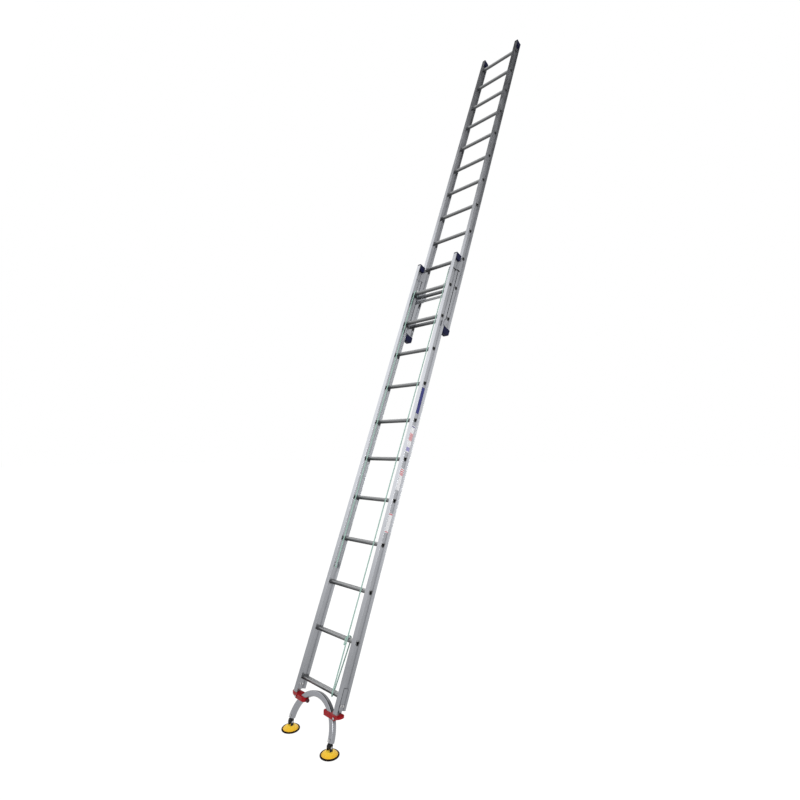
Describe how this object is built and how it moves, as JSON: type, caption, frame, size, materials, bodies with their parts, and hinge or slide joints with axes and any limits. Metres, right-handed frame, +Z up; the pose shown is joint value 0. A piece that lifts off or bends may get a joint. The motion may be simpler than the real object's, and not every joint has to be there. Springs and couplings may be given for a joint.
{
  "type": "extension ladder",
  "caption": "Two-section aluminium extension ladder, leaning as in use, with hollow rungs, hoist rope, rung locks and a levelling arch foot on swivel pads.",
  "frame": {"origin": "on the floor, midway between the two pads", "axes": "+Z up from the floor, +X across the rungs to the climber's right, +Y from the climber towards the wall that the ladder leans on"},
  "size_m": [0.511, 2.4893, 6.1038],
  "materials": {
    "stile_aluminium": "mill finish, drawn lengthwise",
    "rung_aluminium": "mill finish with a serrated tread",
    "plate_aluminium": "mill finish plate",
    "arch_aluminium": "satin",
    "cap_blue": "moulded satin",
    "clamp_red": "gloss powder coat",
    "knob_red": "moulded",
    "steel": "zinc plated",
    "knuckle_black": "moulded",
    "pad_yellow": "zinc yellow passivated dome",
    "sole_rubber": "ribbed rubber",
    "sheave_nylon": "moulded nylon",
    "rope": "three-strand polypropylene, mint"
  },
  "bodies": {
    "base": {"base_guides": "plate_aluminium", "base_rivets": "steel", "base_rung_01": "rung_aluminium", "base_rung_02": "rung_aluminium", "base_rung_03": "rung_aluminium", "base_rung_04": "rung_aluminium", "base_rung_05": "rung_aluminium", "base_rung_06": "rung_aluminium", "base_rung_07": "rung_aluminium", "base_rung_08": "rung_aluminium", "base_rung_09": "rung_aluminium", "base_rung_10": "rung_aluminium", "base_rung_11": "rung_aluminium", "base_stile_left": "stile_aluminium", "base_stile_right": "stile_aluminium", "base_top_caps": "cap_blue", "hoist_rope": "rope", "leveller_bolts": "steel", "leveller_clamps": "clamp_red", "leveller_plates": "plate_aluminium", "lift_rope": "rope", "pulley_bracket": "plate_aluminium", "pulley_pin": "steel", "rope_eye": "plate_aluminium", "tie_rope": "rope"},
    "fly": {"fly_rung_01": "rung_aluminium", "fly_rung_02": "rung_aluminium", "fly_rung_03": "rung_aluminium", "fly_rung_04": "rung_aluminium", "fly_rung_05": "rung_aluminium", "fly_rung_06": "rung_aluminium", "fly_rung_07": "rung_aluminium", "fly_rung_08": "rung_aluminium", "fly_rung_09": "rung_aluminium", "fly_rung_10": "rung_aluminium", "fly_rung_11": "rung_aluminium", "fly_rung_12": "rung_aluminium", "fly_stile_left": "stile_aluminium", "fly_stile_right": "stile_aluminium", "fly_foot_caps": "cap_blue", "fly_top_caps": "cap_blue", "fly_guides": "plate_aluminium", "fly_rivets": "steel", "lock_brackets": "plate_aluminium", "lock_tie_bar": "rung_aluminium", "lock_pins": "steel"},
    "levelling_arch": {"level_arch": "arch_aluminium", "knuckle_bolts": "steel"},
    "knuckle_left": {"foot_knuckle_left": "knuckle_black", "pad_pin_left": "steel"},
    "knuckle_right": {"foot_knuckle_right": "knuckle_black", "pad_pin_right": "steel"},
    "pad_left": {"foot_pad_left": "pad_yellow", "foot_sole_left": "sole_rubber"},
    "pad_right": {"foot_pad_right": "pad_yellow", "foot_sole_right": "sole_rubber"},
    "lock_left": {"rung_lock_left": "steel"},
    "lock_right": {"rung_lock_right": "steel"},
    "sheave": {"pulley_sheave": "sheave_nylon"},
    "knob": {"lock_knob": "knob_red"}
  },
  "joints": [
    {"name": "fly_slide", "type": "slide", "parent": "base", "child": "fly", "axis": [0, 0.3584, 0.9336], "range_m": [-2.745, 0], "deforming": ["lift_rope"]},
    {"name": "arch_tilt", "type": "hinge", "parent": "base", "child": "levelling_arch", "pos_m": [0, 0.00484, 0.0596], "axis": [0, 0.9336, -0.3584], "range_deg": [-15, 15]},
    {"name": "knuckle_left_rock", "type": "hinge", "parent": "levelling_arch", "child": "knuckle_left", "pos_m": [-0.198, 0.01165, 0.07734], "axis": [0, 0.9336, -0.3584], "range_deg": [-20, 20]},
    {"name": "pad_left_tilt", "type": "hinge", "parent": "knuckle_left", "child": "pad_left", "pos_m": [-0.198, 0, 0.047], "axis": [1, 0, 0], "range_deg": [-30, 24]},
    {"name": "lock_left_lift", "type": "hinge", "parent": "fly", "child": "lock_left", "pos_m": [-0.146, 1.24007, 3.14914], "axis": [-1, 0, 0], "range_deg": [0, 70]},
    {"name": "knuckle_right_rock", "type": "hinge", "parent": "levelling_arch", "child": "knuckle_right", "pos_m": [0.198, 0.01165, 0.07734], "axis": [0, 0.9336, -0.3584], "range_deg": [-20, 20]},
    {"name": "pad_right_tilt", "type": "hinge", "parent": "knuckle_right", "child": "pad_right", "pos_m": [0.198, 0, 0.047], "axis": [1, 0, 0], "range_deg": [-30, 24]},
    {"name": "lock_right_lift", "type": "hinge", "parent": "fly", "child": "lock_right", "pos_m": [0.146, 1.24007, 3.14914], "axis": [-1, 0, 0], "range_deg": [0, 70]},
    {"name": "sheave_spin", "type": "hinge", "parent": "base", "child": "sheave", "pos_m": [0.169, 1.23583, 3.26645], "axis": [1, 0, 0], "continuous": true},
    {"name": "knob_pull", "type": "slide", "parent": "base", "child": "knob", "axis": [1, 0, 0], "range_m": [0, 0.007], "stiffness_N_per_m": 600}
  ]
}
